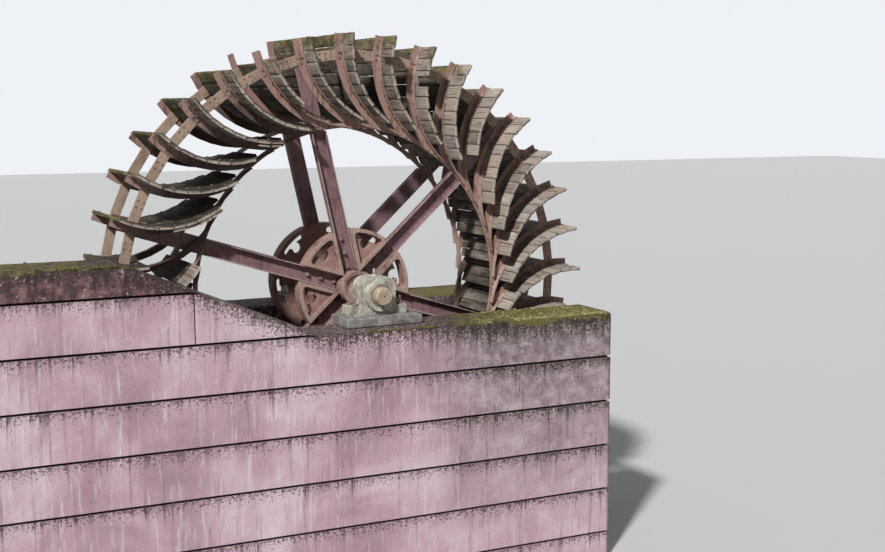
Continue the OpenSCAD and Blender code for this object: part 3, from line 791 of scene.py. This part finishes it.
# bolts with hexagonal heads, all over the wheel and the bearings; stud is the thread's end
boltSizes = {
    "board": {"across": 0.022, "head": 0.009}, "ring": {"across": 0.024, "head": 0.010},
    "splice": {"across": 0.018, "head": 0.006}, "spoke": {"across": 0.040, "head": 0.020, "stud": 0.018},
    "foot": {"across": 0.046, "head": 0.026, "stud": 0.060},
}
boltShape = {"rim": 0.28, "topShare": 0.80, "studShare": 0.27, "studRim": 0.12, "sunk": 0.001}


def addPrism(points, faces, at, axis, radius, height, sides, turn, rim):
    # a closed prism that stands on a face at a point, along an axis, with a chamfered end
    aside = axis.orthogonal().normalized()
    other = axis.cross(aside)
    first = len(points)
    for level, share in ((0, 1), (1 - rim, 1), (1, boltShape["topShare"])):
        for n in range(sides):
            a = turn + n * 2 * math.pi / sides
            offset = (aside * math.cos(a) + other * math.sin(a)) * radius * share
            points.append(tuple(Vector(at) + offset + axis * height * level))
    joinRings(faces, first, 3, sides)
    faces.append(tuple(first + 2 * sides + n for n in range(sides)))
    faces.append(tuple(first + n for n in reversed(range(sides))))


def addBolt(points, faces, at, axis, size, turn=0.0):
    axis = Vector(axis).normalized()
    corner = size["across"] / 2 / math.cos(math.pi / 6)
    addPrism(points, faces, at, axis, corner, size["head"], 6, turn, boltShape["rim"])
    if "stud" in size:
        foot = Vector(at) + axis * (size["head"] - boltShape["sunk"])
        addPrism(points, faces, foot, axis, size["across"] * boltShape["studShare"], size["stud"], 12,
                 turn, boltShape["studRim"])


wheelBolts = {
    "ringRow": 0.027, "tailAngles": (-14.2, -16.8), "tailRadius": 1.600, "splice": 0.030,
    "spokeRadii": (0.200, 0.345, 0.490), "jointAcross": (-0.045, 0.045), "wander": 0.08,
    "seed": 11,
}


def makeWheelBolts():
    points, faces = [], []
    look = wheelBolts
    dice = random.Random(look["seed"])
    ringRadii = (wheel["outerRing"] - look["ringRow"], wheel["outerRing"] + look["ringRow"])
    for side in (-1, 1):
        ringPlane = side * wheel["ringY"]
        ribFace = ringPlane + side * wheel["ribThick"]
        flatY = side * (wheel["ringY"] + wheel["ribFlat"] * 0.55)
        for k in range(wheel["paddles"]):
            a = paddleAngle(k)
            for i in [i for i in laidBoards(k) if i < wheel["boards"]]:
                out = roundSide(i)
                share = 0.5 + look["wander"] * (dice.random() - 0.5)
                middle = curvePoint(i) + inwards(i) * boardWidth * share
                outWorld = Vector((out.x * math.cos(a) - out.y * math.sin(a), 0,
                                   out.x * math.sin(a) + out.y * math.cos(a)))
                for sign, depth in ((1, wheel["ribThick"]), (-1, wheel["boardThick"])):
                    at = onWheel(k, middle + out * sign * depth, flatY)
                    addBolt(points, faces, at, outWorld * sign, boltSizes["board"], dice.random())
            # two bolts through the rib and the outer ring, two through its tail and the inner ring
            spots = [(radius, wheel["ribPlane"] * 0.5) for radius in ringRadii]
            for angle in look["tailAngles"]:
                t = math.radians(angle)
                spots.append((look["tailRadius"] * math.cos(t), look["tailRadius"] * math.sin(t)))
            for spot in spots:
                at = onWheel(k, spot, ribFace)
                addBolt(points, faces, at, (0, side, 0), boltSizes["ring"], dice.random())
            # splices of the ring plates at mid bay
            for shift in (-look["splice"], look["splice"]):
                b = paddleAngle(k + 0.5) + shift / wheel["outerRing"]
                for radius in ringRadii:
                    spot = (radius * math.cos(b), ringPlane, radius * math.sin(b) + axleZ)
                    addBolt(points, faces, spot, (0, side, 0), boltSizes["splice"], dice.random())
        webFace = side * (wheel["ringY"] - wheel["plate"])
        for j in range(wheel["spokes"]):
            b = paddleAngle(wheel["spokePaddle"]) + math.radians(wheel["spokeLead"]) + j * math.pi / 3
            spots = [(radius, 0, webFace, "spoke") for radius in look["spokeRadii"]]
            spots += [(radius, across, ringPlane, "ring") for radius in (wheel["innerRing"], *ringRadii)
                      for across in look["jointAcross"]]
            for radius, across, y, size in spots:
                x = radius * math.cos(b) - across * math.sin(b)
                z = radius * math.sin(b) + across * math.cos(b)
                addBolt(points, faces, (x, y, z + axleZ), (0, side, 0), boltSizes[size], dice.random())
    mesh = meshFrom("wheelBolts", points, faces, None, 25)
    addPiece("wheelBolts", mesh, "wheel", "boltRust")


footBolts = {"fromEnd": 0.053, "fromMiddle": 0.070, "footThick": 0.084}


def makeBearingBolts():
    points, faces = [], []
    for side in ("front", "rear"):
        low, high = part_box(f"{side}_bearing_base")
        middle = (low.y + high.y) / 2
        for x in (low.x + footBolts["fromEnd"], high.x - footBolts["fromEnd"]):
            for y in (middle - footBolts["fromMiddle"], middle + footBolts["fromMiddle"]):
                foot = (x, y, low.z + footBolts["footThick"])
                addBolt(points, faces, foot, (0, 0, 1), boltSizes["foot"], x * 9)
    mesh = meshFrom("bearingBolts", points, faces, None, 25)
    addPiece("bearingBolts", mesh, "root", "boltRust")


makeWheelBolts()
makeBearingBolts()
print("bolts set")


# masonry walls, lofted along their length with worn edges and recessed joints
masonry = {
    "courseHeight": 0.46, "jointHeight": 0.018, "jointDepth": 0.030, "stationStep": 0.03, "rowStep": 0.035,
    "endRecess": 0.02, "wear": 0.006, "edgeWear": 0.012, "uprightJoint": -1.92, "uprightWidth": 0.012,
    "agedFrom": 0.2, "agedOver": 0.8, "agedDepth": 2.2, "crustDepth": 0.27,
    "dirtDepth": 0.15, "jointDirt": 0.75, "leastCourse": 0.05, "rowGap": 0.012, "lip": 0.004,
    "edgeDown": 0.06, "edgeIn": 0.08, "endRough": 0.006, "flush": 0.001, "cells": 10,
}
# how mossy the wall's top is along x, from 0 to 1
mossAlong = [(-4.0, 0.75), (-2.9, 0.75), (-2.4, 0.30), (-1.0, 0.30), (0.3, 0.35), (1.0, 0.8),
             (1.5, 1.0), (3.0, 1.0)]


def lineAt(x, corners):
    for (x0, z0), (x1, z1) in zip(corners, corners[1:]):
        if x0 <= x <= x1:
            return z0 + (z1 - z0) * (x - x0) / (x1 - x0)
    return corners[-1][1]


def mossAt(x):
    return lineAt(x, mossAlong)


def jointsUp(levelTop, highest):
    # the heights of the joints, one course apart, below and above the wall's level top
    levels = []
    z = levelTop - masonry["courseHeight"]
    while z > masonry["leastCourse"]:
        levels.append(z)
        z -= masonry["courseHeight"]
    z = levelTop
    while z < highest - masonry["leastCourse"]:
        levels.append(z)
        z += masonry["courseHeight"]
    return levels


def rowsUp(highest, joints):
    # the heights of the points of a wall's section, and whether they lie in a joint
    look = masonry
    count = int(highest / look["rowStep"])
    rows = {(round(highest * n / count, 4), False) for n in range(count + 1)}
    for z in joints:
        end = z + look["jointHeight"]
        rows = {row for row in rows if not z - look["rowGap"] < row[0] < end + look["rowGap"]}
        rows |= {(round(z - look["lip"], 4), False), (round(z, 4), True),
                 (round(end, 4), True), (round(end + look["lip"], 4), False)}
    return sorted(rows)


def stationsAlong(low, high, topLine, hasUpright):
    look = masonry
    count = int((high - low) / look["stationStep"])
    stations = {round(low + (high - low) * n / count, 4) for n in range(count + 1)}
    stations |= {round(x, 4) for x, z in topLine}
    if hasUpright:
        stations |= {round(look["uprightJoint"] + shift * look["uprightWidth"], 4)
                     for shift in (-0.5, -0.3, 0.3, 0.5)}
    return sorted(stations)


def makeWall(name, replaced, topLine, side):
    # side is -1 for the wall whose outer face looks towards the camera
    look = masonry
    boxes = [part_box(node) for node in replaced]
    lowY, highY = min(box[0].y for box in boxes), max(box[1].y for box in boxes)
    outerY = lowY if side < 0 else highY
    thick = highY - lowY
    cells = look["cells"]
    levelTop = topLine[-1][1]
    highest = max(z for x, z in topLine)
    stations = stationsAlong(min(box[0].x for box in boxes), max(box[1].x for box in boxes),
                             topLine, side < 0)
    joints = jointsUp(levelTop, highest)
    rows = rowsUp(highest, joints)
    points, faces = [], []
    marks = {"course": [], "aged": [], "nearTop": [], "mossEdge": [], "joint": []}

    def recessAt(z, inJoint, top):
        return look["jointDepth"] if inJoint and z < top - look["lip"] else 0.0

    def put(x, depth, z, top, jointMark):
        below = top - z
        wear = abs(noise.noise(Vector((x * 1.7, z * 1.9, side * 5)))) * look["wear"]
        wear += abs(noise.noise(Vector((x * 11, z * 11, side * 3 + depth * 4)))) * look["wear"] * 0.5
        edge = max(0, 1 - below / look["edgeDown"])
        edge *= max(0, 1 - min(depth, thick - depth) / look["edgeIn"])
        chips = abs(noise.noise(Vector((x * 6, depth * 5, side * 2.0))))
        wear += edge * look["edgeWear"] * (0.4 + chips * 2)
        sign = 1 if depth < thick / 2 else -1
        pull = depth + sign * wear if below > look["flush"] or edge > 0 else depth
        zz = z - edge * wear - (wear * 0.5 if below < look["flush"] else 0)
        # the joints run on around the wall's ends
        back = abs(look["endRough"] * noise.noise(Vector((z * 6, depth * 6, 1))))
        back += look["endRecess"] if jointMark else 0
        xx = x + back if x == stations[0] else x - back if x == stations[-1] else x
        points.append((xx, outerY - side * min(max(pull, 0), thick), max(zz, 0)))
        marks["course"].append(1.0 if z > levelTop + look["courseHeight"] + look["flush"] else 0.0)
        wornEnd = min(1, max(0, (x - look["agedFrom"]) / look["agedOver"]))
        marks["aged"].append(wornEnd * max(0, 1 - below / look["agedDepth"]) if side < 0 else 0.3)
        dirt = max(0, 1 - below / look["crustDepth"])
        for level in joints:
            if 0 <= level - z < look["dirtDepth"]:
                dirt = max(dirt, look["jointDirt"] * (1 - (level - z) / look["dirtDepth"]))
        marks["nearTop"].append(dirt)
        marks["mossEdge"].append(mossAt(x) * max(0, 1 - below / (0.04 + 0.10 * mossAt(x))))
        marks["joint"].append(jointMark)

    for x in stations:
        top = lineAt(x, topLine)
        atUpright = side < 0 and abs(x - look["uprightJoint"]) <= 0.31 * look["uprightWidth"]
        for z, inJoint in rows:
            z = min(z, top)
            recess = recessAt(z, inJoint, top)
            if atUpright and levelTop < z < levelTop + look["courseHeight"]:
                recess = max(recess, look["jointDepth"] * 0.5)
            put(x, recess, z, top, 1.0 if recess else 0.0)
        for n in range(cells + 1):
            put(x, thick * n / cells, top, top, 0.0)
        for z, inJoint in reversed(rows):
            z = min(z, top)
            recess = recessAt(z, inJoint, top)
            put(x, thick - recess, z, top, 1.0 if recess else 0.0)
    ringSize = len(points) // len(stations)
    joinRings(faces, 0, len(stations), ringSize, True)
    if side > 0:
        faces = [face[::-1] for face in faces]
    for x in (stations[0], stations[-1]):
        begin = len(points)
        top = lineAt(x, topLine)
        for z, inJoint in rows:
            z = min(z, top)
            recess = recessAt(z, inJoint, top)
            for n in range(cells + 1):
                put(x, recess + (thick - 2 * recess) * n / cells, z, top, 1.0 if recess else 0.0)
        for r in range(len(rows) - 1):
            for n in range(cells):
                a = begin + r * (cells + 1) + n
                faces.append((a, a + 1, a + cells + 2, a + cells + 1))
    mesh = meshFrom(name, points, faces, marks, 38)
    work = bmesh.new()
    work.from_mesh(mesh)
    bmesh.ops.remove_doubles(work, verts=work.verts, dist=2e-5)
    bmesh.ops.recalc_face_normals(work, faces=work.faces)
    work.to_mesh(mesh)
    work.free()
    return addPiece(name, mesh, "root", "paintedRender", replaced)


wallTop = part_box("front_wall")[1].z
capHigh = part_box("front_wall_cap")[1]
courseLow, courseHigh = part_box("front_wall_course")
slopeFoot = courseHigh.x
slopeHead = slopeFoot - (courseHigh.x - capHigh.x) * (capHigh.z - wallTop) / (courseHigh.z - wallTop)
frontTop = [(courseLow.x, capHigh.z), (slopeHead, capHigh.z), (slopeFoot, wallTop),
            (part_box("front_wall")[1].x, wallTop)]
rearTop = [(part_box("rear_wall")[0].x, wallTop), (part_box("rear_wall")[1].x, wallTop)]
makeWall("frontWallRender", ["front_wall", "front_wall_course", "front_wall_cap"], frontTop, -1)
makeWall("rearWallRender", ["rear_wall"], rearTop, 1)
finishNode("pit_floor", "dampFloor")
print("walls built")


# moss on the front wall's top, as lumpy clumps of real mesh, bright and thick only at its right-hand end
mossLook = {
    "seed": 5, "clumps": 1500, "smallest": 0.008, "largest": 0.026, "brightFrom": 0.95,
    "fromEnds": 0.05, "fromEdges": (0.02, 0.04), "slabHalf": 0.42, "slabFrom": 0.16, "sunk": 0.006,
}


def addClump(points, faces, at, radius, dice):
    first = len(points)
    rings, around = 3, 7
    spin = dice.random() * 6
    points.append((at[0], at[1], at[2] + radius * (0.55 + 0.2 * dice.random())))
    for r in range(1, rings + 1):
        tilt = r / rings * math.pi / 2
        for n in range(around):
            a = spin + n * 2 * math.pi / around
            size = radius * (0.8 + 0.4 * dice.random())
            points.append((at[0] + math.cos(a) * math.sin(tilt) * size,
                           at[1] + math.sin(a) * math.sin(tilt) * size,
                           at[2] + math.cos(tilt) * radius * 0.55 - (0.004 if r == rings else 0)))
    for n in range(around):
        faces.append((first, first + 1 + n, first + 1 + (n + 1) % around))
    joinRings(faces, first + 1, rings, around, True)
    faces.append(tuple(first + 1 + (rings - 1) * around + n for n in reversed(range(around))))


def makeMoss():
    look = mossLook
    dice = random.Random(look["seed"])
    beds = {"wallMoss": ([], []), "wallMossBright": ([], [])}
    low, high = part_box("front_wall")
    made = 0
    while made < look["clumps"]:
        x = low.x + look["fromEnds"] + (high.x - low.x - 2 * look["fromEnds"]) * dice.random()
        edge = dice.random() ** 2.2
        y = low.y + look["fromEdges"][0] + edge * (high.y - low.y - sum(look["fromEdges"]))
        if abs(x) < look["slabHalf"] and y > low.y + look["slabFrom"]:
            continue
        patch = noise.noise(Vector((x * 2.3, y * 4.0, 4.0))) * 0.9 + mossAt(x) - 0.55
        if patch < edge * 0.3:
            continue
        z = lineAt(x, frontTop) - look["sunk"]
        size = look["smallest"] + (look["largest"] - look["smallest"]) * dice.random() ** 2
        bright = x + 0.25 * noise.noise(Vector((x * 5, y * 5, 1))) > look["brightFrom"]
        points, faces = beds["wallMossBright" if bright else "wallMoss"]
        radius = size * (0.5 + 0.5 * mossAt(x))
        addClump(points, faces, (x, max(y, low.y + radius * 1.2), z), radius, dice)
        made += 1
    for name, finish in (("wallMoss", "mossClump"), ("wallMossBright", "brightMoss")):
        addPiece(name, meshFrom(name, *beds[name], None, 60), "root", finish)


makeMoss()
print("moss grown")


# a plain pale floor and soft light
studio = {
    "floorSize": 160, "floorColor": (0.50, 0.50, 0.495), "skyColor": (0.86, 0.88, 0.92),
    "skyLight": 0.18, "sunPower": 4.3, "sunSoftness": 4, "sunFrom": (-1.05, -1.0, 1.2),
    "fillPower": 0.4, "fillSoftness": 40, "fillFrom": (0.8, 1.0, 0.8),
}


def makeStudio():
    bpy.ops.mesh.primitive_plane_add(size=studio["floorSize"], location=(0, 0, -0.002))
    floor = bpy.context.object
    floor.name = "studioFloor"
    material, tree, shader = newMaterial("studioFloor")
    setInputs(shader, {"Base Color": (*studio["floorColor"], 1), "Roughness": 0.9})
    floor.data.materials.append(material)
    world = bpy.data.worlds.new("studioSky")
    bpy.context.scene.world = world
    world.use_nodes = True
    tree = world.node_tree
    tree.nodes.clear()
    out = tree.nodes.new("ShaderNodeOutputWorld")
    back = tree.nodes.new("ShaderNodeBackground")
    setInputs(back, {"Color": (*studio["skyColor"], 1)})
    path = tree.nodes.new("ShaderNodeLightPath")
    seen = sums(tree, "MAXIMUM", path.outputs["Is Camera Ray"], path.outputs["Is Glossy Ray"])
    seen = sums(tree, "MAXIMUM", seen, path.outputs["Is Transmission Ray"])
    strength = tree.nodes.new("ShaderNodeMapRange")
    tree.links.new(seen, strength.inputs["Value"])
    setInputs(strength, {"To Min": studio["skyLight"], "To Max": 1.0})
    tree.links.new(strength.outputs["Result"], back.inputs["Strength"])
    tree.links.new(back.outputs[0], out.inputs[0])
    for name, power, origin, soft in (
            ("keySun", studio["sunPower"], studio["sunFrom"], studio["sunSoftness"]),
            ("fillSun", studio["fillPower"], studio["fillFrom"], studio["fillSoftness"])):
        lamp = bpy.data.lights.new(name, "SUN")
        lamp.energy = power
        lamp.angle = math.radians(soft)
        light = bpy.data.objects.new(name, lamp)
        light.rotation_euler = Vector(origin).to_track_quat("Z", "Y").to_euler()
        bpy.context.scene.collection.objects.link(light)
    bpy.context.scene.view_settings.view_transform = "Standard"


makeStudio()
print("studio lit")
